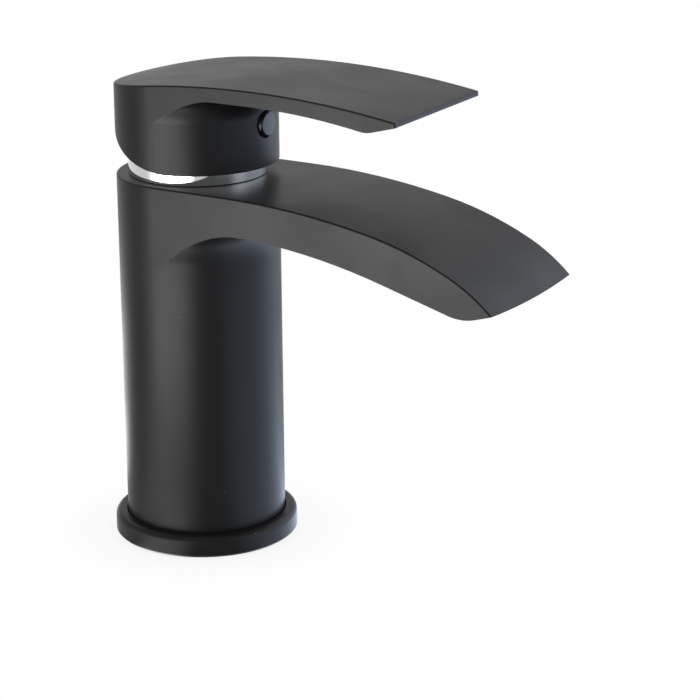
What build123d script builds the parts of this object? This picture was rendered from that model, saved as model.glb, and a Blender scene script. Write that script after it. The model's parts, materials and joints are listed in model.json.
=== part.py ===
from build123d import *
import os
from math import asin, cos, degrees, radians, sin, sqrt, tan

# Single-lever bathroom mixer faucet with a wide flat spout and a 35 mm ceramic cartridge.
# Millimetres. The origin is the middle of the base, on the column's axis, where it meets the deck.
# +Z is up and +X runs along the spout. The spout and the lever are as wide as the column.

# Column and spout, outer form
COLUMN_RADIUS = 23.0
BODY_TOP = 107.0
SPOUT_FLAT_END = 23.5
SPOUT_CROWN_RADIUS = 232.0
SPOUT_CROWN_END = 68.0
SPOUT_NOSE_RADIUS = 102.5
SPOUT_NOSE_END = 93.0
SPOUT_TIP_RADIUS = 48.0
SPOUT_TIP = 106.1
SPOUT_END_BULGE = 0.75
SPOUT_UNDER_TOP_X = 22.0
SPOUT_UNDER_TOP_Z = 96.5
SPOUT_UNDER_RADIUS = 190.0
SPOUT_UNDER_TURN = 15.5
SPOUT_CORNER_X = 98.1
SPOUT_CORNER_RADIUS = 14.0
SPOUT_FLARE_RADIUS = 12.5
SPOUT_FLARE_TOP = 96.3
SPOUT_FLARE_REACH = 9.0

# Column, inside
DECK_BORE_RADIUS = 20.0
PARTITION_LOW = 58.0
SEAT_Z = 76.0
CHAMBER_RADIUS = 17.6
NUT_BORE_RADIUS = 18.2
NUT_BORE_LOW = 103.0
HOSE_PORT_RADIUS = 4.5
HOSE_PORT_X = 4.0
HOSE_PORT_SPACING = 17.0
HOSE_PORT_TOP = 69.0
STUD_HOLE_RADIUS = 3.4
STUD_HOLE_X = -11.0
STUD_HOLE_TOP = 70.0
INLET_RADIUS = 2.2
INLET_SEAT = (4.4, 7.2)
OUTLET_RADIUS = 2.8
OUTLET_X = -1.0
GALLERY_HALF_WIDTH = 3.4
GALLERY_LOW = 70.5
GALLERY_HIGH = 74.8
RISER_INNER = 19.7
RISER_OUTER = 21.4
RISER_HALF_ANGLE = 25.0
RISER_TOP = 101.0
WATERWAY_WALL = 2.5
WATERWAY_HALF_WIDTH = 19.0
WATERWAY_START = 19.9

# Outlet in the end face of the spout
OUTLET_SLOT_WIDTH = 34.0
OUTLET_SLOT_HEIGHT = 4.0
OUTLET_SLOT_DEPTH = 2.2
OUTLET_SLOT_OFFSET = 3.8
OUTLET_SIDE_GAP = 0.1
OUTLET_INSERT_DEPTH = 1.1
OUTLET_INSERT_RECESS = 0.7
OUTLET_HOLE_RADIUS = 0.55
OUTLET_HOLE_PITCH = 2.1
OUTLET_HOLE_COLUMNS = 15
OUTLET_ROW_SPACING = 1.8
OUTLET_FRAME = 0.6
OUTLET_THROAT_HEIGHT = 1.6
OUTLET_THROAT_SHIFT = -1.3
OUTLET_THROAT_DEPTH = 3.2

# Base ring and its seals
BASE_RING_RADIUS = 26.5
BASE_RING_BORE = 23.15
BASE_RING_HEIGHT = 6.3
BASE_RING_ROUND = 1.2
BASE_RING_CHAMFER = 0.6
COLUMN_O_RING_HEIGHT = 4.0
COLUMN_O_RING_RADIUS = 23.95
COLUMN_O_RING_SECTION = 0.9
BASE_GASKET_INNER = 23.7
BASE_GASKET_OUTER = 25.4
BASE_GASKET_HEIGHT = 1.4
SEAL_GAP = 0.05

# Lever handle, outer form
LEVER_TOP_X = 31.0
LEVER_TOP_Z = 137.2
LEVER_TOP_RADIUS = 285.0
LEVER_UNDER_X = 32.0
LEVER_UNDER_Z = 132.95
LEVER_UNDER_RADIUS = 205.0
LEVER_CORNER_X = 68.2
LEVER_CORNER_RADIUS = 8.0
LEVER_TIP_X = 77.0
LEVER_TIP_LOW = 132.1
LEVER_FLARE_RADIUS = 8.0
LEVER_FLARE_REACH = 0.5
RIM_Z = 110.8
RIM_FLAT_BACK = 5.65
RIM_RELIEF_RADIUS = 40.0

# Lever handle, inside
HANDLE_CAVITY_RADIUS = 20.5
HANDLE_ROOF = 129.0
HUB_RADIUS = 7.0
HUB_LOW = 119.0
SOCKET_HALF = 3.8
SOCKET_TOP = 127.5
SCREW_Z = 122.9
SCREW_RADIUS = 2.5
SCREW_START = 3.75
SCREW_LENGTH = 7.0
SCREW_KEY_SIZE = 2.5
SCREW_KEY_DEPTH = 2.5
BOSS_RADIUS = 4.5
BOSS_END = 11.5
PLUG_RECESS_RADIUS = 4.05
PLUG_RECESS_FLOOR = 22.0
PLUG_BORE_RADIUS = 3.65
PLUG_RADIUS = 3.6
PLUG_FRONT = 24.0
PLUG_BACK = 19.3
PLUG_ROUND = 0.8
PLUG_BARB_RADIUS = 3.85
PLUG_BARB_WIDTH = 0.7

# Chrome dome under the handle, around the lever's pivot
PIVOT_Z = 110.0
DOME_RADIUS = 19.6
DOME_WALL = 1.2
DOME_OPENING = 15.0
DOME_O_RING_RADIUS = 17.6
DOME_O_RING_SECTION = 0.75
DOME_O_RING_Z = 108.5

# Cartridge nut
NUT_THREAD_RADIUS = 18.15
NUT_HEAD_RADIUS = 17.3
NUT_TOP = 110.5
NUT_BORE = 13.1
NUT_HEAD_BORE = 15.0
NUT_HEAD_FLOOR = 107.5
NUT_KEY_WIDTH = 4.0
NUT_KEY_DEPTH = 1.1
NUT_KEY_COUNT = 6

# Cartridge, from the seat up
CARTRIDGE_RADIUS = 17.5
CARTRIDGE_BASE_RADIUS = 17.4
CARTRIDGE_CAVITY = 15.3
CARTRIDGE_BASE_TOP = 82.0
FIXED_DISC_RADIUS = 15.0
FIXED_DISC_TOP = 86.0
INLET_DISC = (5.6, 4.2)
DISC_GAP = 0.05
MOVING_DISC_RADIUS = 11.4
MOVING_DISC_TOP = 89.5
MOVING_DISC_REST_X = -3.27
MIXING_POCKET_RADIUS = 7.0
MIXING_POCKET_X = -4.3
MIXING_POCKET_DEPTH = 2.0
CARRIER_TOP = 97.5
CARRIER_POCKET_RADIUS = 3.7
CARRIER_POCKET_LOW = 91.3
GUIDE_RIB_Y = (6.0, 7.5)
GUIDE_RIB_HALF_LENGTH = 8.0
GUIDE_RIB_TOP = 99.0
GUIDE_GAP = 0.3
ROTOR_LOW = 98.0
ROTOR_FLANGE_TOP = 100.0
ROTOR_FLANGE_RADIUS = 13.0
ROTOR_RADIUS = 11.1
ROTOR_TOP = 114.0
ROTOR_BORE = 11.2
ROTOR_SLOT_HALF_WIDTH = 4.1
ROTOR_SLOT_HIGH = (-6.5, 7.6)
ROTOR_SLOT_LOW = (-4.2, 9.4)
ROTOR_SLOT_STEP = 102.0
ROTOR_O_RING_Z = 104.5
ROTOR_O_RING_RADIUS = 10.5
ROTOR_O_RING_SECTION = 0.58
HOUSING_CEILING = 100.3
HOUSING_SHOULDER = 103.0
HOUSING_NECK_RADIUS = 13.0
HOUSING_NECK_TOP = 108.0
SEAT_SEAL_HEIGHT = 1.0
INLET_SEAL = (2.6, 3.3)
OUTLET_SEAL = (3.2, 3.9)

# Limit ring on the rotor and its stop on the housing
LIMIT_RING_LOW = 108.4
LIMIT_RING_TOP = 110.4
LIMIT_RING_BORE = 11.15
LIMIT_RING_RADIUS = 14.6
LIMIT_NOTCH_RADIUS = 12.0
LIMIT_NOTCH_HALF_ANGLE = 55.0
LIMIT_STOP_INNER = 12.3
LIMIT_STOP_HALF_ANGLE = 8.0
LIMIT_KEY_WIDTH = 2.0
LIMIT_KEY_DEPTH = 0.8

# Control stem and its pivot pin
STEM_HALF = 3.7
STEM_BLOCK_LOW = 106.0
STEM_TOP = 127.0
STEM_SHANK_RADIUS = 2.4
STEM_BALL_RADIUS = 3.2
STEM_BALL_Z = 95.0
PIN_RADIUS = 1.5
PIN_HALF_LENGTH = 10.5
PIN_RUNNING_FIT = 0.05
PIN_SEAT_GAP = 0.02

OVERCUT = 2.0
FAR = 60.0


def disc(radius, low, high, x=0.0, y=0.0):
    """Upright cylinder between two heights."""
    return Pos(x, y, (low + high) / 2) * Cylinder(radius, high - low)


def ring(inner, outer, low, high, x=0.0, y=0.0):
    """Upright tube between two heights."""
    return disc(outer, low, high, x, y) - disc(inner, low, high, x, y)


def block(x, y, z):
    """Box from its low and high limits on each axis."""
    centre = Pos((x[0] + x[1]) / 2, (y[0] + y[1]) / 2, (z[0] + z[1]) / 2)
    return centre * Box(x[1] - x[0], y[1] - y[0], z[1] - z[0])


def rod_x(radius, start, end, z):
    """Cylinder along X between two places, at one height."""
    return Pos((start + end) / 2, 0, z) * Rot(0, 90, 0) * Cylinder(radius, end - start)


def rod_y(radius, half_length, z):
    """Cylinder along Y, centred on the axis, at one height."""
    return Pos(0, 0, z) * Rot(90, 0, 0) * Cylinder(radius, 2 * half_length)


def o_ring(radius, section, z):
    """Torus around the column's axis."""
    return Pos(0, 0, z) * Torus(radius, section)


def side_solid(outline, half_width):
    """Solid of a side outline in X and Z, the same to both sides of y = 0."""
    return extrude(Plane.XZ * make_face(outline), half_width, both=True)


def turned(outline, angle=360.0):
    """Solid turned about the column's axis from an outline in radius and height."""
    return revolve(Plane.XZ * make_face(outline), Axis.Z, angle)


def sector(inner, outer, low, high, half_angle, middle=0.0):
    """Piece of a tube, to both sides of a middle direction."""
    outline = Polyline((inner, low), (outer, low), (outer, high), (inner, high), close=True)
    return Rot(0, 0, middle - half_angle) * turned(outline, 2 * half_angle)


def flare(radius, top, reach):
    """Hollow rounding between the column's front and the blade above it, as wide as the column."""
    foot = top - radius
    edge = COLUMN_RADIUS + radius
    curve = CenterArc((edge, foot), radius, 180, -90)
    rest = Polyline(
        (edge, top),
        (edge + reach, top),
        (edge + reach, top + OVERCUT),
        (COLUMN_RADIUS - OVERCUT, top + OVERCUT),
        (COLUMN_RADIUS - OVERCUT, foot),
        (COLUMN_RADIUS, foot),
    )
    half_turn = Rot(0, 0, -90) * turned([curve, rest], 180)
    return half_turn & block((0, FAR), (-COLUMN_RADIUS, COLUMN_RADIUS), (0, 2 * FAR + FAR))


# Spout: the curves of its side view, shared by the outside and the waterway
def spout_corner():
    """Sharp lower corner, where the sloping underside meets the end face."""
    turn = radians(SPOUT_UNDER_TURN)
    slope_x = SPOUT_UNDER_TOP_X + SPOUT_UNDER_RADIUS * sin(turn)
    slope_z = SPOUT_UNDER_TOP_Z - SPOUT_UNDER_RADIUS * (1 - cos(turn))
    return SPOUT_CORNER_X, slope_z - (SPOUT_CORNER_X - slope_x) * tan(turn)


def spout_top():
    """Upper line of the spout's side view: a flat, then arcs that get rounder towards the tip."""
    arcs = (
        (SPOUT_CROWN_END, SPOUT_CROWN_RADIUS),
        (SPOUT_NOSE_END, SPOUT_NOSE_RADIUS),
        (SPOUT_TIP, SPOUT_TIP_RADIUS),
    )
    line = [Line((0, BODY_TOP), (SPOUT_FLAT_END, BODY_TOP))]
    slope = 0.0
    for end, radius in arcs:
        start = line[-1] @ 1
        end_slope = asin(sin(slope) + (end - start.X) / radius)
        line.append(JernArc(start, line[-1] % 1, radius, degrees(slope - end_slope)))
        slope = end_slope
    return line


def spout_face():
    """Side view of the spout, from the column's axis to the tip."""
    top = spout_top()
    end = Line(top[-1] @ 1, spout_corner())
    root = Line((0, SPOUT_UNDER_TOP_Z), (SPOUT_UNDER_TOP_X, SPOUT_UNDER_TOP_Z))
    under = JernArc(root @ 1, root % 1, SPOUT_UNDER_RADIUS, -SPOUT_UNDER_TURN)
    slope = Line(under @ 1, spout_corner())
    back = Line(root @ 0, top[0] @ 0)
    return make_face([*top, end, slope, under, root, back])


def end_plane():
    """Plane on the spout's end face, at the slot's middle, facing out of the spout."""
    corner_x, corner_z = spout_corner()
    corner = Vector(corner_x, 0, corner_z)
    tip = spout_top()[-1] @ 1
    along = (Vector(tip.X, 0, tip.Y) - corner).normalized()
    middle = corner + along * OUTLET_SLOT_OFFSET
    return Plane(origin=middle, x_dir=(0, 1, 0), z_dir=(along.Z, 0, -along.X))


def end_roller():
    """Large roller whose side is the end face, so that the face bulges a little in the middle."""
    radius = (COLUMN_RADIUS**2 + SPOUT_END_BULGE**2) / (2 * SPOUT_END_BULGE)
    face = end_plane()
    axis = Plane(origin=face.offset(-radius).origin, z_dir=face.y_dir)
    return axis * Cylinder(radius, 2 * radius)


def spout_blade():
    """Solid spout with a bulging end face that rounds over into the underside."""
    corner_x, corner_z = spout_corner()
    blade = extrude(Plane.XZ * spout_face(), COLUMN_RADIUS, both=True) & end_roller()
    edge = blade.edges().sort_by_distance((corner_x, 0, corner_z))[0]
    return fillet(edge, SPOUT_CORNER_RADIUS)


def end_slot(width, height, start, end, shift=0.0):
    """Round-ended bar behind the end face, between two depths."""
    outline = Pos(0, shift) * SlotOverall(width, height)
    return extrude(end_plane().offset(-start) * outline, start - end)


def waterway():
    """The way of the mixed water: well, gallery and riser in the column, then the hollow spout."""
    inner = offset(spout_face(), -WATERWAY_WALL)
    hollow = extrude(Plane.XZ * inner, WATERWAY_HALF_WIDTH, both=True)
    hollow = hollow - disc(WATERWAY_START, 0, 2 * FAR)
    riser = sector(RISER_INNER, RISER_OUTER, GALLERY_LOW, RISER_TOP, RISER_HALF_ANGLE)
    gallery = block(
        (OUTLET_X, (RISER_INNER + RISER_OUTER) / 2),
        (-GALLERY_HALF_WIDTH, GALLERY_HALF_WIDTH),
        (GALLERY_LOW, GALLERY_HIGH),
    )
    well = disc(OUTLET_RADIUS, GALLERY_LOW, SEAT_Z + OVERCUT, OUTLET_X)
    return hollow + riser + gallery + well


def body_casting():
    """Column and spout in one casting, hollow below for the hoses and above for the cartridge."""
    column = disc(COLUMN_RADIUS, 0, BODY_TOP)
    body = column + spout_blade() + flare(SPOUT_FLARE_RADIUS, SPOUT_FLARE_TOP, SPOUT_FLARE_REACH)
    body -= disc(DECK_BORE_RADIUS, -OVERCUT, PARTITION_LOW)
    body -= disc(CHAMBER_RADIUS, SEAT_Z, NUT_BORE_LOW)
    body -= disc(NUT_BORE_RADIUS, NUT_BORE_LOW, BODY_TOP + OVERCUT)
    for side in (-1, 1):
        port_y = side * HOSE_PORT_SPACING / 2
        inlet_y = side * INLET_SEAT[1]
        body -= disc(HOSE_PORT_RADIUS, PARTITION_LOW - OVERCUT, HOSE_PORT_TOP, HOSE_PORT_X, port_y)
        body -= disc(INLET_RADIUS, HOSE_PORT_TOP - OVERCUT, SEAT_Z + OVERCUT, INLET_SEAT[0], inlet_y)
    body -= disc(STUD_HOLE_RADIUS, PARTITION_LOW - OVERCUT, STUD_HOLE_TOP, STUD_HOLE_X)
    body -= waterway()
    body -= end_slot(OUTLET_SLOT_WIDTH, OUTLET_SLOT_HEIGHT, -OVERCUT, OUTLET_SLOT_DEPTH)
    throat_width = OUTLET_SLOT_WIDTH - 2 * OUTLET_FRAME
    body -= end_slot(throat_width, OUTLET_THROAT_HEIGHT, 0, OUTLET_THROAT_DEPTH, OUTLET_THROAT_SHIFT)
    return body


def outlet_insert():
    """Perforated strip that breaks the stream into fine jets."""
    width = OUTLET_SLOT_WIDTH - 2 * OUTLET_SIDE_GAP
    height = OUTLET_SLOT_HEIGHT - 2 * OUTLET_SIDE_GAP
    depth = OUTLET_INSERT_RECESS + OUTLET_INSERT_DEPTH
    strip = end_slot(width, height, OUTLET_INSERT_RECESS, depth)
    grid = GridLocations(OUTLET_HOLE_PITCH, OUTLET_ROW_SPACING, OUTLET_HOLE_COLUMNS, 2)
    holes = Sketch() + [place * Circle(OUTLET_HOLE_RADIUS) for place in grid]
    return strip - extrude(end_plane() * holes, -OUTLET_SLOT_DEPTH)


def outlet_gasket():
    """Rubber frame behind the perforated strip."""
    width = OUTLET_SLOT_WIDTH - 2 * OUTLET_SIDE_GAP
    height = OUTLET_SLOT_HEIGHT - 2 * OUTLET_SIDE_GAP
    depth = OUTLET_INSERT_RECESS + OUTLET_INSERT_DEPTH
    frame = end_slot(width, height, depth, OUTLET_SLOT_DEPTH)
    return frame - end_slot(width - 2 * OUTLET_FRAME, height - 2 * OUTLET_FRAME, 0, OUTLET_THROAT_DEPTH)


def base_ring():
    """Loose ring around the column's foot, with grooves for its two seals."""
    outer = disc(BASE_RING_RADIUS, 0, BASE_RING_HEIGHT)
    outer = fillet(outer.edges().sort_by(Axis.Z)[-1], BASE_RING_ROUND)
    outer = chamfer(outer.edges().sort_by(Axis.Z)[0], BASE_RING_CHAMFER)
    collar = outer - disc(BASE_RING_BORE, -OVERCUT, BASE_RING_HEIGHT + OVERCUT)
    groove_half = COLUMN_O_RING_SECTION + SEAL_GAP
    collar -= ring(
        BASE_RING_BORE - OVERCUT,
        COLUMN_O_RING_RADIUS + groove_half,
        COLUMN_O_RING_HEIGHT - groove_half,
        COLUMN_O_RING_HEIGHT + groove_half,
    )
    return collar - ring(
        BASE_GASKET_INNER - SEAL_GAP, BASE_GASKET_OUTER + SEAL_GAP, -OVERCUT, BASE_GASKET_HEIGHT + SEAL_GAP
    )


def base_gasket():
    """Flat seal between the base ring and the deck."""
    return ring(BASE_GASKET_INNER, BASE_GASKET_OUTER, 0, BASE_GASKET_HEIGHT)


def column_o_ring():
    """Seal between the base ring and the column."""
    return o_ring(COLUMN_O_RING_RADIUS, COLUMN_O_RING_SECTION, COLUMN_O_RING_HEIGHT)


# Lever handle
def lever_blade():
    """Flat lever over the spout, up to a height above its crowned top."""
    ceiling = LEVER_TOP_Z + OVERCUT
    turn = degrees(asin((LEVER_CORNER_X - LEVER_UNDER_X) / LEVER_UNDER_RADIUS))
    root = Line((0, LEVER_UNDER_Z), (LEVER_UNDER_X, LEVER_UNDER_Z))
    under = JernArc(root @ 1, root % 1, LEVER_UNDER_RADIUS, -turn)
    tip = (LEVER_TIP_X, LEVER_TIP_LOW)
    rest = Polyline(under @ 1, tip, (LEVER_TIP_X, ceiling), (0, ceiling), root @ 0)
    face = make_face([root, under, rest])
    corner = face.vertices().sort_by_distance(under @ 1)[0]
    return extrude(Plane.XZ * fillet(corner, LEVER_CORNER_RADIUS), COLUMN_RADIUS, both=True)


def below_rim():
    """Space under the handle's rim, which rises at the back to let the lever tilt."""
    floor = RIM_Z - 2 * OVERCUT
    front = Line((FAR, RIM_Z), (RIM_FLAT_BACK, RIM_Z))
    relief = JernArc(front @ 1, front % 1, RIM_RELIEF_RADIUS, -55)
    rest = Polyline(relief @ 1, (-FAR, (relief @ 1).Y), (-FAR, floor), (FAR, floor), front @ 0)
    return side_solid([front, relief, rest], FAR)


def lever_handle():
    """Round cap with a flat lever, clamped on the cartridge's stem by its hub."""
    cap = disc(COLUMN_RADIUS, RIM_Z - OVERCUT, LEVER_TOP_Z + OVERCUT)
    handle = cap + lever_blade() + flare(LEVER_FLARE_RADIUS, LEVER_UNDER_Z, LEVER_FLARE_REACH)
    crown = Rot(90, 0, 0) * Cylinder(LEVER_TOP_RADIUS, 2 * FAR)
    handle = handle & (Pos(LEVER_TOP_X, 0, LEVER_TOP_Z - LEVER_TOP_RADIUS) * crown)
    handle -= below_rim()
    handle -= disc(HANDLE_CAVITY_RADIUS, RIM_Z - OVERCUT, HANDLE_ROOF)
    handle += disc(HUB_RADIUS, HUB_LOW, HANDLE_ROOF)
    handle += rod_x(BOSS_RADIUS, 0, BOSS_END, SCREW_Z)
    socket = (-SOCKET_HALF, SOCKET_HALF)
    handle -= block(socket, socket, (HUB_LOW - OVERCUT, SOCKET_TOP))
    handle -= rod_x(SCREW_RADIUS + SEAL_GAP, 0, BOSS_END + OVERCUT, SCREW_Z)
    handle -= rod_x(PLUG_BORE_RADIUS, BOSS_END + OVERCUT, COLUMN_RADIUS, SCREW_Z)
    return handle - rod_x(PLUG_RECESS_RADIUS, PLUG_RECESS_FLOOR, COLUMN_RADIUS + OVERCUT, SCREW_Z)


def grub_screw():
    """Socket-head grub screw that clamps the hub on the stem."""
    end = SCREW_START + SCREW_LENGTH
    screw = rod_x(SCREW_RADIUS, SCREW_START, end, SCREW_Z)
    mouth = Plane(origin=(end, 0, SCREW_Z), z_dir=(1, 0, 0))
    hexagon = RegularPolygon(SCREW_KEY_SIZE / 2, 6, major_radius=False)
    return screw - extrude(mouth * hexagon, -SCREW_KEY_DEPTH)


def handle_plug():
    """Round-edged plug that hides the grub screw, held by a barb behind the handle's wall."""
    plug = rod_x(PLUG_RADIUS, PLUG_BACK, PLUG_FRONT, SCREW_Z)
    plug = fillet(plug.edges().sort_by(Axis.X)[-1], PLUG_ROUND)
    return plug + rod_x(PLUG_BARB_RADIUS, PLUG_BACK, PLUG_BACK + PLUG_BARB_WIDTH, SCREW_Z)


# Dome and nut over the cartridge
def dome_arc(radius):
    """Round part of the dome's outline, from the opening down to its foot ring."""
    start = degrees(asin(sqrt(radius**2 - DOME_OPENING**2) / radius))
    return CenterArc((0, PIVOT_Z), radius, start, -start)


def dome_cover():
    """Chromed shell around the pivot, standing on the body's top."""
    inner_radius = DOME_RADIUS - DOME_WALL
    outer = dome_arc(DOME_RADIUS)
    inner = dome_arc(inner_radius)
    foot = Polyline(outer @ 1, (DOME_RADIUS, BODY_TOP), (inner_radius, BODY_TOP), inner @ 1)
    lip = Line(inner @ 0, outer @ 0)
    return turned([outer, foot, inner, lip])


def dome_o_ring():
    """Seal that holds the dome on the nut."""
    return o_ring(DOME_O_RING_RADIUS, DOME_O_RING_SECTION, DOME_O_RING_Z)


def cartridge_nut():
    """Threaded ring that presses the cartridge on its seat."""
    nut = disc(NUT_THREAD_RADIUS, NUT_BORE_LOW, BODY_TOP) + disc(NUT_HEAD_RADIUS, BODY_TOP, NUT_TOP)
    nut -= disc(NUT_BORE, NUT_BORE_LOW - OVERCUT, NUT_TOP)
    nut -= disc(NUT_HEAD_BORE, NUT_HEAD_FLOOR, NUT_TOP + OVERCUT)
    groove_half = DOME_O_RING_SECTION + SEAL_GAP
    nut -= ring(
        DOME_O_RING_RADIUS - groove_half,
        NUT_HEAD_RADIUS + OVERCUT,
        DOME_O_RING_Z - groove_half,
        DOME_O_RING_Z + groove_half,
    )
    for key in range(NUT_KEY_COUNT):
        slot = block(
            (NUT_BORE, NUT_HEAD_RADIUS + OVERCUT),
            (-NUT_KEY_WIDTH / 2, NUT_KEY_WIDTH / 2),
            (NUT_TOP - NUT_KEY_DEPTH, NUT_TOP + OVERCUT),
        )
        nut -= Rot(0, 0, key * 360 / NUT_KEY_COUNT) * slot
    return nut


# Cartridge
def water_holes(low, high, inlet):
    """Two inlets and one outlet, straight through a disc."""
    holes = disc(OUTLET_RADIUS, low, high, OUTLET_X)
    for side in (-1, 1):
        holes += disc(INLET_RADIUS, low, high, inlet[0], side * inlet[1])
    return holes


def water_rings(low, high, inlet, gap=0.0):
    """One ring around each of the three holes."""
    rings = [ring(OUTLET_SEAL[0] - gap, OUTLET_SEAL[1] + gap, low, high, OUTLET_X)]
    for side in (-1, 1):
        rings.append(ring(INLET_SEAL[0] - gap, INLET_SEAL[1] + gap, low, high, inlet[0], side * inlet[1]))
    return rings


def cartridge_base():
    """Foot of the cartridge, which leads the inlets from the seat to the fixed disc."""
    base = disc(CARTRIDGE_BASE_RADIUS, SEAT_Z, CARTRIDGE_BASE_TOP)
    base -= disc(OUTLET_RADIUS, SEAT_Z - OVERCUT, CARTRIDGE_BASE_TOP + OVERCUT, OUTLET_X)
    for side in (-1, 1):
        foot = Pos(INLET_SEAT[0], side * INLET_SEAT[1], SEAT_Z) * Circle(INLET_RADIUS)
        head = Pos(INLET_DISC[0], side * INLET_DISC[1], CARTRIDGE_BASE_TOP) * Circle(INLET_RADIUS)
        base -= loft([foot, head])
    base -= water_rings(SEAT_Z - OVERCUT, SEAT_Z + SEAT_SEAL_HEIGHT + SEAL_GAP, INLET_SEAT, SEAL_GAP)
    low = CARTRIDGE_BASE_TOP - SEAT_SEAL_HEIGHT - SEAL_GAP
    return base - water_rings(low, CARTRIDGE_BASE_TOP + OVERCUT, INLET_DISC, SEAL_GAP)


def port_seals():
    """Seals between the cartridge and its seat."""
    return Compound(water_rings(SEAT_Z, SEAT_Z + SEAT_SEAL_HEIGHT, INLET_SEAT))


def disc_seals():
    """Seals between the cartridge's foot and the fixed disc."""
    return Compound(water_rings(CARTRIDGE_BASE_TOP - SEAT_SEAL_HEIGHT, CARTRIDGE_BASE_TOP, INLET_DISC))


def fixed_disc():
    """Ceramic disc with the three ports."""
    plate = disc(FIXED_DISC_RADIUS, CARTRIDGE_BASE_TOP, FIXED_DISC_TOP)
    return plate - water_holes(CARTRIDGE_BASE_TOP - OVERCUT, FIXED_DISC_TOP + OVERCUT, INLET_DISC)


def moving_disc():
    """Ceramic disc whose pocket joins the inlets to the outlet when it slides forward."""
    low = FIXED_DISC_TOP + DISC_GAP
    plate = disc(MOVING_DISC_RADIUS, low, MOVING_DISC_TOP, MOVING_DISC_REST_X)
    return plate - disc(MIXING_POCKET_RADIUS, low - OVERCUT, low + MIXING_POCKET_DEPTH, MIXING_POCKET_X)


def disc_carrier():
    """Slider on the moving disc, pushed by the stem's ball and guided by two ribs."""
    carrier = disc(MOVING_DISC_RADIUS, MOVING_DISC_TOP, CARRIER_TOP, MOVING_DISC_REST_X)
    carrier -= disc(CARRIER_POCKET_RADIUS, CARRIER_POCKET_LOW, CARRIER_TOP + OVERCUT)
    run = (MOVING_DISC_REST_X - GUIDE_RIB_HALF_LENGTH, MOVING_DISC_REST_X + GUIDE_RIB_HALF_LENGTH)
    rib = block(run, GUIDE_RIB_Y, (CARRIER_TOP - OVERCUT, GUIDE_RIB_TOP))
    return carrier + rib + mirror(rib, Plane.XZ)


def cartridge_housing():
    """Shell of the cartridge, with the stop for the limit ring."""
    housing = disc(CARTRIDGE_RADIUS, CARTRIDGE_BASE_TOP, HOUSING_SHOULDER)
    housing += disc(HOUSING_NECK_RADIUS, HOUSING_SHOULDER, HOUSING_NECK_TOP)
    housing -= disc(CARTRIDGE_CAVITY, CARTRIDGE_BASE_TOP - OVERCUT, HOUSING_CEILING)
    housing -= disc(ROTOR_BORE, HOUSING_CEILING - OVERCUT, HOUSING_NECK_TOP + OVERCUT)
    return housing + sector(
        LIMIT_STOP_INNER, HOUSING_NECK_RADIUS, HOUSING_NECK_TOP, LIMIT_RING_TOP, LIMIT_STOP_HALF_ANGLE, 180
    )


def cartridge_rotor():
    """Turning core of the cartridge, slotted for the stem and grooved for the carrier's ribs."""
    rotor = disc(ROTOR_FLANGE_RADIUS, ROTOR_LOW, ROTOR_FLANGE_TOP)
    rotor += disc(ROTOR_RADIUS, ROTOR_FLANGE_TOP, ROTOR_TOP)
    width = (-ROTOR_SLOT_HALF_WIDTH, ROTOR_SLOT_HALF_WIDTH)
    rotor -= block(ROTOR_SLOT_HIGH, width, (ROTOR_SLOT_STEP, ROTOR_TOP + OVERCUT))
    rotor -= block(ROTOR_SLOT_LOW, width, (ROTOR_LOW - OVERCUT, ROTOR_SLOT_STEP))
    rib_space = (GUIDE_RIB_Y[0] - GUIDE_GAP, GUIDE_RIB_Y[1] + GUIDE_GAP)
    groove = block((-FAR, FAR), rib_space, (ROTOR_LOW - OVERCUT, GUIDE_RIB_TOP + GUIDE_GAP))
    rotor -= groove
    rotor -= mirror(groove, Plane.XZ)
    seal_half = ROTOR_O_RING_SECTION + SEAL_GAP
    rotor -= ring(
        ROTOR_O_RING_RADIUS - seal_half,
        ROTOR_BORE + OVERCUT,
        ROTOR_O_RING_Z - seal_half,
        ROTOR_O_RING_Z + seal_half,
    )
    rotor -= rod_y(PIN_RADIUS + PIN_SEAT_GAP, ROTOR_BORE + OVERCUT, PIVOT_Z)
    key = block(
        (ROTOR_RADIUS - LIMIT_KEY_DEPTH, ROTOR_BORE + OVERCUT),
        (-LIMIT_KEY_WIDTH / 2, LIMIT_KEY_WIDTH / 2),
        (LIMIT_RING_LOW, ROTOR_TOP + OVERCUT),
    )
    rotor -= key
    return rotor - mirror(key, Plane.YZ)


def rotor_o_ring():
    """Seal between the rotor and the housing."""
    return o_ring(ROTOR_O_RING_RADIUS, ROTOR_O_RING_SECTION, ROTOR_O_RING_Z)


def limit_ring():
    """Keyed ring whose notch meets the housing's stop at both ends of the turn."""
    collar = ring(LIMIT_RING_BORE, LIMIT_RING_RADIUS, LIMIT_RING_LOW, LIMIT_RING_TOP)
    collar -= sector(
        LIMIT_NOTCH_RADIUS,
        LIMIT_RING_RADIUS + OVERCUT,
        LIMIT_RING_LOW - OVERCUT,
        LIMIT_RING_TOP + OVERCUT,
        LIMIT_NOTCH_HALF_ANGLE,
        180,
    )
    half_width = LIMIT_KEY_WIDTH / 2 - SEAL_GAP
    reach = (ROTOR_RADIUS - LIMIT_KEY_DEPTH + SEAL_GAP, (LIMIT_RING_BORE + LIMIT_NOTCH_RADIUS) / 2)
    key = block(reach, (-half_width, half_width), (LIMIT_RING_LOW, LIMIT_RING_TOP))
    return collar + key + mirror(key, Plane.YZ)


def control_stem():
    """Square stem under the hub, with a ball below the pivot that drives the carrier."""
    stem = block((-STEM_HALF, STEM_HALF), (-STEM_HALF, STEM_HALF), (STEM_BLOCK_LOW, STEM_TOP))
    stem += disc(STEM_SHANK_RADIUS, STEM_BALL_Z, STEM_BLOCK_LOW)
    stem += Pos(0, 0, STEM_BALL_Z) * Sphere(STEM_BALL_RADIUS)
    return stem - rod_y(PIN_RADIUS + PIN_RUNNING_FIT, STEM_HALF + OVERCUT, PIVOT_Z)


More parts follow.
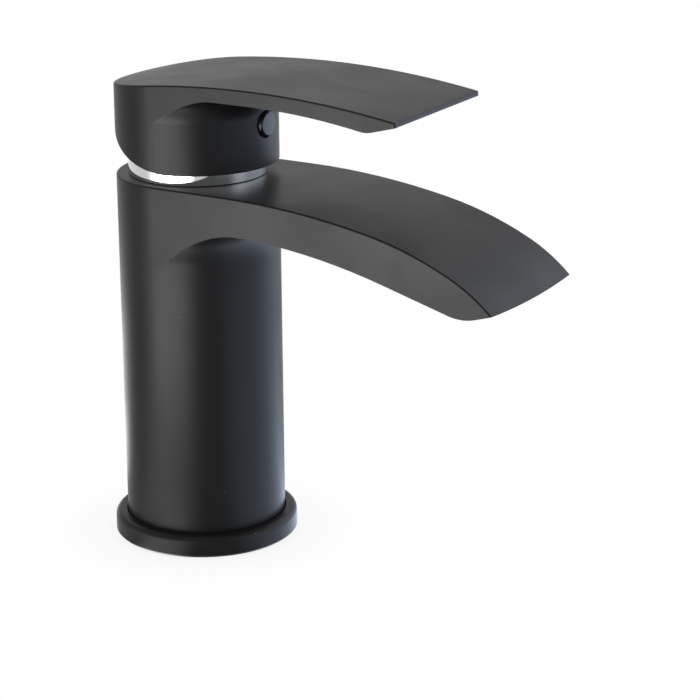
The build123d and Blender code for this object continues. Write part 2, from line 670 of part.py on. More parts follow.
def pivot_pin():
    """Pin through the rotor and the stem."""
    return rod_y(PIN_RADIUS, PIN_HALF_LENGTH, PIVOT_Z)


PIECES = [
    body_casting,
    outlet_insert,
    outlet_gasket,
    base_ring,
    base_gasket,
    column_o_ring,
    dome_cover,
    dome_o_ring,
    cartridge_nut,
    cartridge_base,
    port_seals,
    disc_seals,
    fixed_disc,
    cartridge_housing,
    cartridge_rotor,
    rotor_o_ring,
    limit_ring,
    pivot_pin,
    disc_carrier,
    moving_disc,
    control_stem,
    lever_handle,
    handle_plug,
    grub_screw,
]

os.makedirs("parts", exist_ok=True)
for make_piece in PIECES:
    export_step(make_piece(), f"parts/{make_piece.__name__}.step")
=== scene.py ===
"""Looks of a single-lever bathroom mixer faucet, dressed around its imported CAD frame.

The casting, the lever, the base ring, the chromed dome and the plug are finished pieces of their own.
The works inside keep their CAD shapes and get procedural finishes.
"""

import json
import logging
import math
from collections.abc import Iterable
from dataclasses import dataclass
from enum import Enum

import bmesh
import bpy
from mathutils import Matrix, Vector


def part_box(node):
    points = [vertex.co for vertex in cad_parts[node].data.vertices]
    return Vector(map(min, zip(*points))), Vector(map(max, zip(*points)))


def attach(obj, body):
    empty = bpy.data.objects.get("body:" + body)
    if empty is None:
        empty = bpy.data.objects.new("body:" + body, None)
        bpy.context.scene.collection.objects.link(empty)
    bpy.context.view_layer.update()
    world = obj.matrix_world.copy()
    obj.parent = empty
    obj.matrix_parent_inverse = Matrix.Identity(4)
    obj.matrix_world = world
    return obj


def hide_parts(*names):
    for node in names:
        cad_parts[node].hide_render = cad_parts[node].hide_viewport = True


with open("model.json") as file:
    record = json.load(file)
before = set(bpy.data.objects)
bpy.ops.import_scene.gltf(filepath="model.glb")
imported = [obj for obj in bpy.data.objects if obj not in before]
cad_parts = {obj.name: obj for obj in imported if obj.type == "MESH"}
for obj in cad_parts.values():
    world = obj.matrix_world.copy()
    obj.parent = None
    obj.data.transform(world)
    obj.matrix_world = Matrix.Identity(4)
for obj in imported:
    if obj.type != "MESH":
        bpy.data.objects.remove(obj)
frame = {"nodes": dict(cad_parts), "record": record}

LOG = logging.getLogger("faucet")

Colour = tuple[float, float, float]
Place = tuple[float, float, float]
ProfilePoint = tuple[float, float]
Feed = bpy.types.NodeSocket | float | tuple[float, ...]

MM = 0.001
WELD = 0.0001 * MM
FLAT_ANGLE = math.radians(0.05)
SHARP_ANGLE = math.radians(32)
DOWNWARD = 0.05
ROUND_PROFILE = 0.5
SPECK_SPACING = 2.4
DUST_COLOUR: Colour = (0.04, 0.04, 0.041)


class Slot(Enum):
    """Material slots of the record."""

    SATIN_BLACK = "satin_black"
    BLACK_PLASTIC = "black_plastic"
    CHROME = "chrome"
    BRASS = "brass"
    WHITE_PLASTIC = "white_plastic"
    GREY_PLASTIC = "grey_plastic"
    CERAMIC = "ceramic"
    RUBBER = "rubber"
    STEEL = "steel"


class Effect(Enum):
    """Shared surface effects, each one a shader node group."""

    GRAIN = "fine_grain"
    MARKS = "handling_marks"
    SPECKS = "dust_specks"
    TURNING = "turning_marks"


class Wiring:
    """Adds nodes to one shader tree and joins their sockets."""

    def __init__(self, tree: bpy.types.NodeTree) -> None:
        """Starts on a tree and empties it.

        Args:
            tree: The shader tree.
        """
        self.tree = tree
        tree.nodes.clear()

    def add(self, kind: str, inputs: dict[str | int, Feed] | None = None, **settings) -> bpy.types.Node:
        """Adds one node.

        Args:
            kind: Blender's name for the node type, without its ShaderNode prefix.
            inputs: Values or output sockets for the node's inputs, by input name or number.
            settings: Properties of the node.

        Returns:
            The new node.
        """
        prefix = "" if kind.startswith("NodeGroup") else "ShaderNode"
        node = self.tree.nodes.new(prefix + kind)
        for name, value in settings.items():
            setattr(node, name, value)
        for name, value in (inputs or {}).items():
            if isinstance(value, bpy.types.NodeSocket):
                self.tree.links.new(value, node.inputs[name])
            else:
                node.inputs[name].default_value = value
        return node

    def maths(self, operation: str, first: Feed, second: Feed = 0.0) -> bpy.types.NodeSocket:
        """Adds a Math node.

        Args:
            operation: The node's operation.
            first: First value or socket.
            second: Second value or socket.

        Returns:
            The node's value socket.
        """
        return self.add("Math", {0: first, 1: second}, operation=operation).outputs[0]

    def vector(self, operation: str, first: Feed, second: Feed | None = None) -> bpy.types.Node:
        """Adds a Vector Math node.

        Args:
            operation: The node's operation.
            first: First vector or socket.
            second: Second vector or socket, if the operation has one.

        Returns:
            The node, whose result is a Vector or a Value.
        """
        inputs = {0: first} if second is None else {0: first, 1: second}
        return self.add("VectorMath", inputs, operation=operation)

    def soft_step(self, value: Feed, low: float, high: float) -> bpy.types.NodeSocket:
        """Adds a smooth step from 0 to 1.

        Args:
            value: Socket to read.
            low: Where the step begins.
            high: Where the step ends.

        Returns:
            The result's socket.
        """
        inputs = {"Value": value, "From Min": low, "From Max": high}
        return self.add("MapRange", inputs, interpolation_type="SMOOTHSTEP").outputs[0]

    def scaled(self, vector: Feed, share: Feed) -> bpy.types.NodeSocket:
        """Scales a vector or a colour.

        Args:
            vector: The vector or its socket.
            share: The number or its socket.

        Returns:
            The scaled vector's socket.
        """
        return self.add("VectorMath", {0: vector, "Scale": share}, operation="SCALE").outputs["Vector"]

    def span(self, value: Feed, start: float, end: float) -> bpy.types.NodeSocket:
        """Spreads a value of 0 to 1 evenly between two numbers.

        Args:
            value: Socket to read.
            start: Result at 0.
            end: Result at 1.

        Returns:
            The result's socket.
        """
        return self.add("MapRange", {"Value": value, "To Min": start, "To Max": end}).outputs[0]

    def blend(self, factor: Feed, first: Feed, second: Feed) -> bpy.types.NodeSocket:
        """Mixes two colours.

        Args:
            factor: Share of the second colour.
            first: First colour or socket.
            second: Second colour or socket.

        Returns:
            The mixed colour's socket.
        """
        factor_input, first_input, second_input, colour_output = 0, 6, 7, 2
        inputs = {factor_input: factor, first_input: first, second_input: second}
        return self.add("Mix", inputs, data_type="RGBA").outputs[colour_output]


class EffectShelf:
    """Builds the shared effects once and hands out their node groups."""

    dimple_detail = 2.0
    grain_detail = 1.0
    grain_ratio = 4.3
    grain_share = 0.35
    patch_detail = 4.0
    patch_distortion = 0.6
    patch_edges = (0.32, 0.7)
    speck_edges = (0.2, 0.08)
    ring_detail = 3.0

    def __init__(self) -> None:
        """Builds every effect."""
        makers = {
            Effect.GRAIN: self.make_grain,
            Effect.MARKS: self.make_marks,
            Effect.SPECKS: self.make_specks,
            Effect.TURNING: self.make_turning,
        }
        self.groups = {effect: make(effect.value) for effect, make in makers.items()}

    @staticmethod
    def start(
        name: str, inputs: dict[str, str], outputs: dict[str, str]
    ) -> tuple[Wiring, bpy.types.NodeOutputs]:
        """Starts an empty group.

        Args:
            name: The group's name.
            inputs: Kind of each named input.
            outputs: Kind of each named output.

        Returns:
            The group's wiring and the sockets of its input node.
        """
        group = bpy.data.node_groups.new(name, "ShaderNodeTree")
        for side, sockets in (("INPUT", inputs), ("OUTPUT", outputs)):
            for label, kind in sockets.items():
                group.interface.new_socket(label, in_out=side, socket_type=f"NodeSocket{kind}")
        wiring = Wiring(group)
        return wiring, wiring.add("NodeGroupInput").outputs

    def make_grain(self, name: str) -> bpy.types.NodeTree:
        """Low dimples of a sprayed or moulded skin, with a finer grain on them.

        Args:
            name: The group's name.

        Returns:
            The group.
        """
        wiring, entry = self.start(
            name, {"Vector": "Vector", "Scale": "Float"}, {"Height": "Float", "Tone": "Float"}
        )
        spot = entry["Vector"]
        finer = wiring.maths("MULTIPLY", entry["Scale"], self.grain_ratio)
        dimples = wiring.add(
            "TexNoise", {"Vector": spot, "Scale": entry["Scale"], "Detail": self.dimple_detail}
        )
        grain = wiring.add("TexNoise", {"Vector": spot, "Scale": finer, "Detail": self.grain_detail})
        fine_share = wiring.maths("MULTIPLY", grain.outputs[0], self.grain_share)
        height = wiring.maths("ADD", dimples.outputs[0], fine_share)
        wiring.add("NodeGroupOutput", {"Height": height, "Tone": grain.outputs[0]})
        return wiring.tree

    def make_marks(self, name: str) -> bpy.types.NodeTree:
        """Broad soft patches that handling and wiping leave on a finish.

        Args:
            name: The group's name.

        Returns:
            The group.
        """
        wiring, entry = self.start(name, {"Vector": "Vector", "Scale": "Float"}, {"Patch": "Float"})
        cloud = wiring.add(
            "TexNoise",
            {
                "Vector": entry["Vector"],
                "Scale": entry["Scale"],
                "Detail": self.patch_detail,
                "Distortion": self.patch_distortion,
            },
        )
        patch = wiring.soft_step(cloud.outputs[0], *self.patch_edges)
        wiring.add("NodeGroupOutput", {"Patch": patch})
        return wiring.tree

    def make_specks(self, name: str) -> bpy.types.NodeTree:
        """Sparse specks of settled dust.

        Args:
            name: The group's name.

        Returns:
            The group.
        """
        wiring, entry = self.start(
            name, {"Vector": "Vector", "Scale": "Float", "Share": "Float"}, {"Speck": "Float"}
        )
        cells = wiring.add("TexVoronoi", {"Vector": entry["Vector"], "Scale": entry["Scale"]})
        dot = wiring.soft_step(cells.outputs["Distance"], *self.speck_edges)
        lot = wiring.add("SeparateColor", {0: cells.outputs["Color"]}).outputs[0]
        chosen = wiring.maths("LESS_THAN", lot, entry["Share"])
        wiring.add("NodeGroupOutput", {"Speck": wiring.maths("MULTIPLY", dot, chosen)})
        return wiring.tree

    def make_turning(self, name: str) -> bpy.types.NodeTree:
        """Fine rings that a lathe leaves around the upright axis.

        Args:
            name: The group's name.

        Returns:
            The group.
        """
        wiring, entry = self.start(
            name, {"Vector": "Vector", "Scale": "Float"}, {"Height": "Float", "Tone": "Float"}
        )
        flat = wiring.vector("MULTIPLY", entry["Vector"], (1.0, 1.0, 0.0))
        radius = wiring.vector("LENGTH", flat.outputs["Vector"])
        along = wiring.add("SeparateXYZ", {0: entry["Vector"]}).outputs["Z"]
        path = wiring.maths("ADD", radius.outputs["Value"], along)
        stretched = wiring.add("CombineXYZ", {0: path})
        rings = wiring.add(
            "TexNoise",
            {"Vector": stretched.outputs[0], "Scale": entry["Scale"], "Detail": self.ring_detail},
        )
        wiring.add("NodeGroupOutput", {"Height": rings.outputs[0], "Tone": rings.outputs[0]})
        return wiring.tree


@dataclass(frozen=True)
class Finish:
    """One procedural finish. Sizes of patterns are in millimetres."""

    slot: Slot
    colour: Colour
    roughness: tuple[float, float]
    metallic: float = 0.0
    specular: float = 0.5
    tone_spread: float = 0.12
    grain_size: float = 0.8
    grain_depth: float = 0.004
    mark_size: float = 24.0
    speck_share: float = 0.0
    turning_size: float = 0.0
    turning_depth: float = 0.0

    def material(self, shelf: EffectShelf) -> bpy.types.Material:
        """Builds the finish.

        Args:
            shelf: The shared effects.

        Returns:
            The material.
        """
        material = bpy.data.materials.new(self.slot.value)
        material.use_nodes = True
        wiring = Wiring(material.node_tree)
        spot = wiring.add("TexCoord").outputs["Object"]

        def place(effect: Effect, size: float, **values: float) -> bpy.types.NodeOutputs:
            """Places one shared effect.

            Args:
                effect: The effect.
                size: Size of its pattern in millimetres.
                values: Its other inputs, by name.

            Returns:
                The sockets of the effect's results.
            """
            inputs = {"Vector": spot, "Scale": 1 / (size * MM), **values}
            return wiring.add("Group", inputs, node_tree=shelf.groups[effect]).outputs

        skin = place(Effect.GRAIN, self.grain_size)
        depth = self.grain_depth
        marks = place(Effect.MARKS, self.mark_size)
        if self.turning_size:
            skin = place(Effect.TURNING, self.turning_size)
            depth = self.turning_depth
        darker = tuple(channel * (1 - self.tone_spread) for channel in self.colour) + (1.0,)
        lighter = tuple(channel * (1 + self.tone_spread) for channel in self.colour) + (1.0,)
        colour = wiring.blend(skin["Tone"], darker, lighter)
        if self.speck_share:
            specks = place(Effect.SPECKS, SPECK_SPACING, Share=self.speck_share)
            colour = wiring.blend(specks["Speck"], colour, DUST_COLOUR + (1.0,))
        bump = wiring.add("Bump", {"Strength": 1.0, "Distance": depth * MM, "Height": skin["Height"]})
        shader = wiring.add(
            "BsdfPrincipled",
            {
                "Base Color": colour,
                "Roughness": wiring.span(marks["Patch"], *self.roughness),
                "Metallic": self.metallic,
                "Specular IOR Level": self.specular,
                "Normal": bump.outputs[0],
            },
        )
        wiring.add("OutputMaterial", {"Surface": shader.outputs[0]})
        return material


FINISHES = (
    Finish(
        Slot.SATIN_BLACK,
        colour=(0.0080, 0.0080, 0.0083),
        roughness=(0.35, 0.41),
        specular=0.1,
        grain_size=0.35,
        grain_depth=0.002,
        speck_share=0.012,
    ),
    Finish(
        Slot.BLACK_PLASTIC,
        colour=(0.012, 0.012, 0.0125),
        roughness=(0.3, 0.36),
        specular=0.2,
        grain_size=0.5,
        grain_depth=0.003,
    ),
    Finish(
        Slot.CHROME,
        colour=(0.55, 0.556, 0.56),
        roughness=(0.04, 0.08),
        metallic=1.0,
        tone_spread=0.02,
        grain_size=6.0,
        grain_depth=0.001,
        mark_size=9.0,
    ),
    Finish(
        Slot.BRASS,
        colour=(0.62, 0.43, 0.17),
        roughness=(0.24, 0.36),
        metallic=1.0,
        tone_spread=0.1,
        turning_size=0.3,
        turning_depth=0.006,
    ),
    Finish(
        Slot.WHITE_PLASTIC,
        colour=(0.72, 0.71, 0.68),
        roughness=(0.38, 0.48),
        tone_spread=0.04,
        grain_size=0.6,
        grain_depth=0.004,
    ),
    Finish(
        Slot.GREY_PLASTIC,
        colour=(0.115, 0.118, 0.122),
        roughness=(0.4, 0.5),
        tone_spread=0.06,
        grain_size=0.5,
        grain_depth=0.004,
    ),
    Finish(
        Slot.CERAMIC,
        colour=(0.7, 0.69, 0.65),
        roughness=(0.12, 0.2),
        tone_spread=0.05,
        grain_size=0.4,
        grain_depth=0.001,
    ),
    Finish(
        Slot.RUBBER,
        colour=(0.018, 0.018, 0.018),
        roughness=(0.6, 0.75),
        tone_spread=0.2,
        grain_size=0.3,
        grain_depth=0.006,
        speck_share=0.05,
    ),
    Finish(
        Slot.STEEL,
        colour=(0.52, 0.53, 0.55),
        roughness=(0.22, 0.34),
        metallic=1.0,
        tone_spread=0.08,
        turning_size=0.25,
        turning_depth=0.004,
    ),
)


class FinishCase:
    """Keeps one material for each slot."""

    def __init__(self) -> None:
        """Builds every finish."""
        shelf = EffectShelf()
        self.materials = {finish.slot: finish.material(shelf) for finish in FINISHES}

    def dress(self, piece: bpy.types.Object, slot: Slot) -> None:
        """Gives a piece the finish of a slot.

        Args:
            piece: The piece or CAD node.
            slot: The slot.
        """
        piece.data.materials.clear()
        piece.data.materials.append(self.materials[slot])


def solid_piece(name: str, shape: bmesh.types.BMesh) -> bpy.types.Object:
    """Makes a smooth-shaded object from a finished shape, with its hard edges marked.

    Args:
        name: The piece's name.
        shape: The shape, which is used up.

    Returns:
        The new object.
    """
    for face in shape.faces:
        face.smooth = True
    for edge in shape.edges:
        edge.smooth = edge.calc_face_angle(0.0) < SHARP_ANGLE
    mesh = bpy.data.meshes.new(name)
    shape.to_mesh(mesh)
    shape.free()
    carried = mesh.attributes.get("custom_normal")
    if carried:
        mesh.attributes.remove(carried)
    piece = bpy.data.objects.new(name, mesh)
    bpy.context.scene.collection.objects.link(piece)
    even = piece.modifiers.new("even_normals", "WEIGHTED_NORMAL")
    even.keep_sharp = True
    return piece


def mount(
    piece: bpy.types.Object, body: str, slot: Slot, case: FinishCase, nodes: Iterable[str]
) -> None:
    """Ties a finished piece to its body, its finish and the CAD nodes that it stands for.

    Args:
        piece: The piece.
        body: The body that it moves with.
        slot: Its material slot.
        case: The finishes.
        nodes: The CAD nodes that it replaces.
    """
    case.dress(piece, slot)
    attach(piece, body)
    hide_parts(*nodes)
    LOG.info("%s: %d faces, rides on %s", piece.name, len(piece.data.polygons), body)


def arc(
    centre: ProfilePoint, radius: float, start: float, end: float, steps: int
) -> list[ProfilePoint]:
    """Points on a round stretch of a profile.

    Args:
        centre: Middle of the arc, as radius and height.
        radius: The arc's radius.
        start: First angle in degrees, from outwards towards up.
        end: Last angle in degrees.
        steps: Number of straight runs.

    Returns:
        The points, both ends among them.
    """
    angles = [math.radians(start + (end - start) * step / steps) for step in range(steps + 1)]
    return [(centre[0] + radius * math.cos(a), centre[1] + radius * math.sin(a)) for a in angles]


def turned(profile: list[ProfilePoint], steps: int) -> bmesh.types.BMesh:
    """Turns a closed profile into a ring around the upright axis.

    Args:
        profile: Points as radius and height, in millimetres, without the first one repeated.
        steps: Number of steps in the full turn.

    Returns:
        The closed shape.
    """
    shape = bmesh.new()
    points = [shape.verts.new((radius * MM, 0, height * MM)) for radius, height in profile]
    loop = [shape.edges.new((points[i - 1], points[i])) for i in range(len(points))]
    bmesh.ops.spin(
        shape,
        geom=points + loop,
        axis=(0, 0, 1),
        cent=(0, 0, 0),
        angle=math.tau,
        steps=steps,
        use_merge=True,
    )
    bmesh.ops.remove_doubles(shape, verts=shape.verts, dist=WELD)
    bmesh.ops.recalc_face_normals(shape, faces=shape.faces)
    return shape


@dataclass(frozen=True)
class CastShell:
    """A casting as wide as the column, with its outer edges rounded off. Millimetres."""

    name: str
    node: str
    body: str
    blade_foot: float
    edge_round: float
    edge_segments: int = 3
    foot_clearance: float = 1.0
    outline_tolerance: float = 0.06
    tip_band: float = 1.0

    def is_outer(self, spot: Vector, half_width: float) -> bool:
        """Tells whether a point is on the outline from above: a half round back and straight sides.

        Args:
            spot: The point.
            half_width: Half the casting's width.

        Returns:
            True on the outline.
        """
        reach = spot.xy.length if spot.x < 0 else abs(spot.y)
        return abs(reach - half_width) < self.outline_tolerance * MM

    def is_under_blade(self, edge: bmesh.types.BMEdge) -> bool:
        """Tells whether an edge borders the blade's underside or its hollow rounding, which stay crisp.

        Args:
            edge: The edge.

        Returns:
            True under the blade.
        """
        is_ahead = all(spot.co.x > 0 and spot.co.z > self.blade_foot * MM for spot in edge.verts)
        return is_ahead and any(face.normal.z < -DOWNWARD for face in edge.link_faces)

    def build(self) -> bpy.types.Object:
        """Rounds the outer edges on a merged copy of the CAD node.

        Returns:
            The shell.
        """
        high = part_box(self.node)[1]
        shape = bmesh.new()
        shape.from_mesh(frame["nodes"][self.node].data)
        bmesh.ops.remove_doubles(shape, verts=shape.verts, dist=WELD)
        bmesh.ops.dissolve_limit(shape, angle_limit=FLAT_ANGLE, verts=shape.verts, edges=shape.edges)
        outer = []
        for edge in shape.edges:
            if edge.calc_face_angle_signed(0.0) < SHARP_ANGLE or self.is_under_blade(edge):
                continue
            on_outline = all(self.is_outer(spot.co, high.y) for spot in edge.verts)
            at_tip = all(spot.co.x > high.x - self.tip_band * MM for spot in edge.verts)
            above_foot = all(spot.co.z > self.foot_clearance * MM for spot in edge.verts)
            if above_foot and (on_outline or at_tip):
                outer.append(edge)
        bmesh.ops.bevel(
            shape,
            geom=outer,
            offset=self.edge_round * MM,
            offset_type="OFFSET",
            affect="EDGES",
            segments=self.edge_segments,
            profile=ROUND_PROFILE,
            material=-1,
        )
        return solid_piece(self.name, shape)

    def dress(self, piece: bpy.types.Object, case: FinishCase) -> None:
        """Coats the shell.

        Args:
            piece: The shell.
            case: The finishes.
        """
        mount(piece, self.body, Slot.SATIN_BLACK, case, [self.node])


@dataclass(frozen=True)
class ChromeDome:
    """Mirror-plated shell under the handle, a zone of a ball around the pivot. Millimetres."""

    pivot_height: float = 110.0
    wall: float = 1.2
    opening: float = 15.0
    lip_round: float = 0.25
    lip_steps: int = 3
    around: int = 192
    arc_steps: int = 36

    def build(self) -> bpy.types.Object:
        """Turns the dome's wall.

        Returns:
            The dome.
        """
        low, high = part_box("dome_cover")
        radius = high.x / MM
        foot = low.z / MM
        inner = radius - self.wall
        pivot = (0.0, self.pivot_height)
        top = math.degrees(math.acos(self.opening / radius))
        inner_top = math.degrees(math.acos(self.opening / inner))
        lip = (radius - self.lip_round, foot + self.lip_round)
        profile = [(inner, foot), (radius - self.lip_round, foot)]
        profile += arc(lip, self.lip_round, -90, 0, self.lip_steps)[1:]
        profile += arc(pivot, radius, 0, top, self.arc_steps)
        profile += arc(pivot, inner, inner_top, 0, self.arc_steps)
        return solid_piece("chrome_dome", turned(profile, self.around))

    def dress(self, piece: bpy.types.Object, case: FinishCase) -> None:
        """Plates the dome.

        Args:
            piece: The dome.
            case: The finishes.
        """
        mount(piece, "body", Slot.CHROME, case, ["dome_cover"])


@dataclass(frozen=True)
class BaseCollar:
    """Loose ring around the column's foot, grooved inside for its two seals. Millimetres."""

    bore: float = 23.15
    shoulder_round: float = 1.8
    foot_chamfer: float = 0.6
    seal_groove: tuple[float, float, float] = (24.9, 3.05, 4.95)
    gasket_groove: tuple[float, float, float] = (23.65, 25.45, 1.45)
    mouth_round: float = 0.25
    shoulder_steps: int = 10
    mouth_steps: int = 4
    around: int = 192

    def build(self) -> bpy.types.Object:
        """Turns the ring.

        Returns:
            The ring.
        """
        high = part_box("base_ring")[1]
        radius = high.x / MM
        top = high.z / MM
        shoulder = (radius - self.shoulder_round, top - self.shoulder_round)
        mouth = (self.bore + self.mouth_round, top - self.mouth_round)
        seal_depth, seal_low, seal_high = self.seal_groove
        gasket_inner, gasket_outer, gasket_top = self.gasket_groove
        profile = [
            (gasket_outer, gasket_top),
            (gasket_outer, 0.0),
            (radius - self.foot_chamfer, 0.0),
            (radius, self.foot_chamfer),
        ]
        profile += arc(shoulder, self.shoulder_round, 0, 90, self.shoulder_steps)
        profile += arc(mouth, self.mouth_round, 90, 180, self.mouth_steps)
        profile += [
            (self.bore, seal_high),
            (seal_depth, seal_high),
            (seal_depth, seal_low),
            (self.bore, seal_low),
            (self.bore, 0.0),
            (gasket_inner, 0.0),
            (gasket_inner, gasket_top),
        ]
        return solid_piece("base_collar", turned(profile, self.around))

    def dress(self, piece: bpy.types.Object, case: FinishCase) -> None:
        """Coats the ring.

        Args:
            piece: The ring.
            case: The finishes.
        """
        mount(piece, "body", Slot.SATIN_BLACK, case, ["base_ring"])


@dataclass(frozen=True)
class HandlePlug:
    """Round-edged plug over the grub screw in the handle's front. Millimetres."""

    radius: float = 3.6
    edge_round: float = 0.8
    edge_steps: int = 10
    barb: float = 0.7
    crown: float = 0.1
    around: int = 96

    def build(self) -> bpy.types.Object:
        """Turns the plug upright and lays it along the lever.

        Returns:
            The plug.
        """
        low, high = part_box("handle_plug")
        height = (high.x - low.x) / MM
        barb_radius = (high.y - low.y) / MM / 2
        shoulder = (self.radius - self.edge_round, height - self.crown - self.edge_round)
        profile = [(0.0, 0.0), (barb_radius, 0.0), (barb_radius, self.barb), (self.radius, self.barb)]
        crown_bend = (shoulder[0] / 2, height - self.crown / 3)
        profile += arc(shoulder, self.edge_round, 0, 90, self.edge_steps)
        profile += [crown_bend, (0.0, height)]
        shape = turned(profile, self.around)
        move = Matrix.Translation((low.x, 0, (low.z + high.z) / 2))
        tip_over = Matrix.Rotation(math.pi / 2, 4, "Y")
        bmesh.ops.transform(shape, matrix=move @ tip_over, verts=shape.verts)
        return solid_piece("lever_plug", shape)

    def dress(self, piece: bpy.types.Object, case: FinishCase) -> None:
        """Gives the plug its moulded finish.

        Args:
            piece: The plug.
            case: The finishes.
        """
        mount(piece, "lever", Slot.BLACK_PLASTIC, case, ["handle_plug"])


@dataclass(frozen=True)
class InnerWorks:
    """CAD nodes that stay as they are and only get their finish."""

    def dress(self, case: FinishCase) -> None:
        """Dresses every node that no piece replaces, by its slot in the record.

        Args:
            case: The finishes.
        """
        for row in frame["record"]["subparts"]:
            node = frame["nodes"][row["node"]]
            if not node.hide_render:
                case.dress(node, Slot(row["material_slot"]))
                LOG.info("%s: finish %s", row["node"], row["material_slot"])


@dataclass(frozen=True)
class Panel:
    """A soft bright field of the studio. Degrees.

    Its bearing is counted from the camera's, its low and high edges from the horizon.
    """

    name: str
    bearing: float
    half_width: float
    side_softness: float
    low: float
    high: float
    edge_softness: float
    light: Colour


@dataclass(frozen=True)
class Studio:
    """White floor and background, even room light, and soft bright fields that only reflections see."""

    camera_bearing: float = -55.7
    background: Colour = (1.0, 1.0, 1.0)
    room_light: Colour = (0.9, 0.9, 0.91)
    floor_size: float = 3.0
    floor_drop: float = 0.0002
    floor_eye: float = 0.06
    floor_colour: Colour = (0.8, 0.8, 0.8)
    shade_reach: float = 0.03
    shade: float = 0.82
    shade_samples: int = 8
    panels: tuple[Panel, ...] = (
        Panel("left_near_table", -34, 16, 10, -85, -50, 8, (5.4, 5.45, 5.37)),
        Panel("left_table", -49, 26, 18, -55, 0, 8, (4.8, 4.85, 4.77)),
        Panel("left_table_end", -42, 27, 10, -18, -4, 6, (12.5, 12.8, 12.6)),
        Panel("left_window", -65, 34, 15, 0, 9, 6, (3.4, 3.5, 3.4)),
        Panel("back_left_table", -160, 30, 14, -45, -14, 6, (3.0, 2.93, 2.8)),
        Panel("right_table", 81, 49, 14, -74, 6, 3, (1.7, 2.1, 2.85)),
        Panel("right_window", 73, 12, 8, 10, 19, 4, (3.2, 3.2, 3.25)),
        Panel("right_softbox", 100, 42, 18, 8, 36, 5, (2.6, 2.85, 3.4)),
        Panel("back_softbox", 177, 26, 21, 37, 58, 7, (2.0, 1.95, 1.9)),
    )

    def surround(self) -> bpy.types.NodeTree:
        """Adds up the panels by direction, for the sky and the floor alike.

        Returns:
            A node group from a direction to a colour.
        """
        wiring, entry = EffectShelf.start("studio_surround", {"Vector": "Vector"}, {"Color": "Color"})
        unit = wiring.vector("NORMALIZE", entry["Vector"]).outputs["Vector"]
        flat = wiring.vector("MULTIPLY", unit, (1.0, 1.0, 0.0)).outputs["Vector"]
        heading = wiring.vector("NORMALIZE", flat).outputs["Vector"]
        height = wiring.maths("ARCSINE", wiring.add("SeparateXYZ", {0: unit}).outputs["Z"])
        total = (0.0, 0.0, 0.0)
        for panel in self.panels:
            bearing = math.radians(self.camera_bearing + panel.bearing)
            middle = (math.cos(bearing), math.sin(bearing), 0.0)
            facing = wiring.vector("DOT_PRODUCT", heading, middle)
            facing.label = panel.name
            aside = wiring.maths("ARCCOSINE", facing.outputs["Value"])
            share = self.field(wiring, aside, panel.half_width, -panel.side_softness)
            above = self.field(wiring, height, panel.low, panel.edge_softness)
            below = self.field(wiring, height, panel.high, -panel.edge_softness)
            share = wiring.maths("MULTIPLY", wiring.maths("MULTIPLY", share, above), below)
            total = wiring.vector("ADD", total, wiring.scaled(panel.light, share)).outputs["Vector"]
        wiring.add("NodeGroupOutput", {"Color": total})
        return wiring.tree

    @staticmethod
    def field(
        wiring: Wiring, angle: bpy.types.NodeSocket, edge: float, softness: float
    ) -> bpy.types.NodeSocket:
        """Adds one soft edge of a field.

        Args:
            wiring: The surround's wiring.
            angle: Socket of an angle in radians.
            edge: Where the edge is, in degrees.
            softness: Half the edge's width in degrees, below 0 for a field on the smaller angles.

        Returns:
            The socket of a share from 0 to 1.
        """
        return wiring.soft_step(angle, math.radians(edge - softness), math.radians(edge + softness))

    def backdrop(
        self, wiring: Wiring, view: bpy.types.NodeSocket, surround: bpy.types.NodeTree
    ) -> tuple[bpy.types.NodeSocket, bpy.types.NodeSocket]:
        """Adds what rays see around the object: the white background, and the panels in reflections.

        Args:
            wiring: The wiring of the world or the floor.
            view: Socket of the direction.
            surround: The panels' node group.

        Returns:
            The colour's socket, and the socket that tells camera, glossy and transmission rays.
        """
        path = wiring.add("LightPath").outputs
        gloss = wiring.maths("MAXIMUM", path["Is Glossy Ray"], path["Is Transmission Ray"])
        shown = wiring.maths("MAXIMUM", path["Is Camera Ray"], gloss)
        base = wiring.blend(shown, self.room_light + (1.0,), self.background + (1.0,))
        around = wiring.add("Group", {"Vector": view}, node_tree=surround).outputs["Color"]
        colour = wiring.vector("ADD", base, wiring.scaled(around, gloss)).outputs["Vector"]
        return colour, shown

    def build_world(self, surround: bpy.types.NodeTree) -> None:
        """Lights the scene: even room light, the white background and soft panels in reflections.

        Args:
            surround: The panels' node group.
        """
        world = bpy.data.worlds.new("studio")
        world.use_nodes = True
        bpy.context.scene.world = world
        wiring = Wiring(world.node_tree)
        heading = wiring.add("TexCoord").outputs["Generated"]
        colour, _ = self.backdrop(wiring, heading, surround)
        sky = wiring.add("Background", {"Color": colour, "Strength": 1.0})
        wiring.add("OutputWorld", {"Surface": sky.outputs[0]})

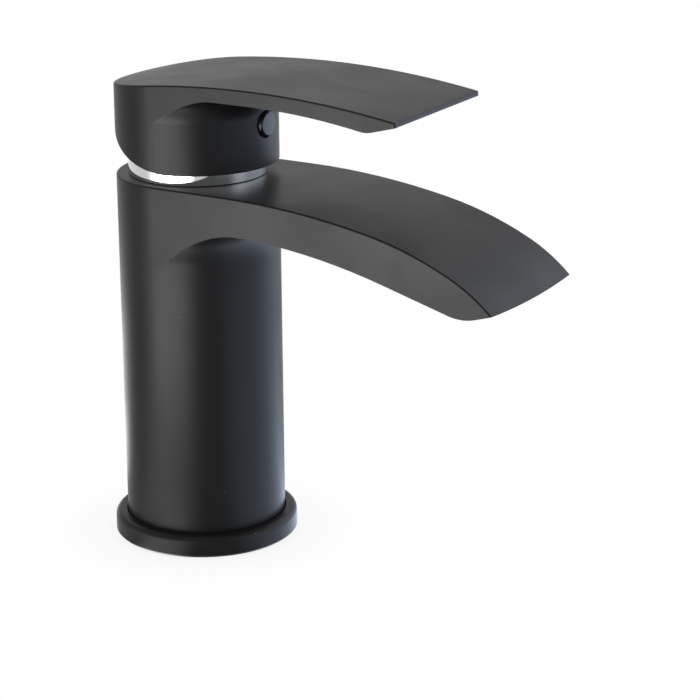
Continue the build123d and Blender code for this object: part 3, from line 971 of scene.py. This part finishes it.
    def build_floor(self, surround: bpy.types.NodeTree) -> None:
        """Lays the floor: white with a soft contact shade, panels in reflections, clear from below.

        Args:
            surround: The panels' node group.
        """
        shape = bmesh.new()
        bmesh.ops.create_grid(shape, x_segments=1, y_segments=1, size=self.floor_size)
        bmesh.ops.translate(shape, verts=shape.verts, vec=(0, 0, -self.floor_drop))
        mesh = bpy.data.meshes.new("floor")
        shape.to_mesh(mesh)
        shape.free()
        floor = bpy.data.objects.new("floor", mesh)
        bpy.context.scene.collection.objects.link(floor)
        material = bpy.data.materials.new("white_floor")
        material.use_nodes = True
        wiring = Wiring(material.node_tree)
        spot = wiring.add("TexCoord").outputs["Object"]
        view = wiring.vector("SUBTRACT", spot, (0.0, 0.0, self.floor_eye)).outputs["Vector"]
        colour, shown = self.backdrop(wiring, view, surround)
        openness = wiring.add(
            "AmbientOcclusion", {"Distance": self.shade_reach}, samples=self.shade_samples
        )
        shaded = wiring.span(openness.outputs["AO"], self.shade, 1.0)
        glow = wiring.add("Emission", {"Color": colour, "Strength": shaded})
        matt = wiring.add("BsdfDiffuse", {"Color": self.floor_colour + (1.0,)})
        top = wiring.add("MixShader", {0: shown, 1: matt.outputs[0], 2: glow.outputs[0]})
        clear = wiring.add("BsdfTransparent")
        from_below = wiring.add("NewGeometry").outputs["Backfacing"]
        surface = wiring.add("MixShader", {0: from_below, 1: top.outputs[0], 2: clear.outputs[0]})
        wiring.add("OutputMaterial", {"Surface": surface.outputs[0]})
        floor.data.materials.append(material)

    def build(self) -> None:
        """Builds the floor and the light."""
        surround = self.surround()
        self.build_world(surround)
        self.build_floor(surround)


@dataclass(frozen=True)
class PhotoCamera:
    """Camera at the photograph's place. Metres, degrees, and millimetres for the lens."""

    place: Place = (0.39860, -0.58509, 0.28065)
    aim: Place = (0.03899, 0.01736, 0.05504)
    roll: float = -0.42
    lens: float = 132.46
    sensor: float = 36.0

    def build(self) -> None:
        """Sets the camera up and makes it the scene's own."""
        data = bpy.data.cameras.new("photo_camera")
        data.lens = self.lens
        data.sensor_fit = "HORIZONTAL"
        data.sensor_width = self.sensor
        camera = bpy.data.objects.new("photo_camera", data)
        bpy.context.scene.collection.objects.link(camera)
        ahead = Vector(self.aim) - Vector(self.place)
        turn = ahead.to_track_quat("-Z", "Y").to_matrix().to_4x4()
        tilt = Matrix.Rotation(math.radians(self.roll), 4, "Z")
        camera.matrix_world = Matrix.Translation(self.place) @ turn @ tilt
        bpy.context.scene.camera = camera


def main() -> None:
    """Builds the faucet's pieces, its finishes, the studio and the camera."""
    logging.basicConfig(level=logging.INFO, format="%(name)s: %(message)s")
    bpy.context.scene.view_settings.view_transform = "Standard"
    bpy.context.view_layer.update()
    case = FinishCase()
    pieces = (
        CastShell("body_shell", "body_casting", "body", blade_foot=60.0, edge_round=0.45),
        CastShell("lever_shell", "lever_handle", "lever", blade_foot=118.0, edge_round=0.5),
        ChromeDome(),
        BaseCollar(),
        HandlePlug(),
    )
    for piece in pieces:
        piece.dress(piece.build(), case)
    InnerWorks().dress(case)
    Studio().build()
    PhotoCamera().build()


if __name__ == "__main__":
    main()
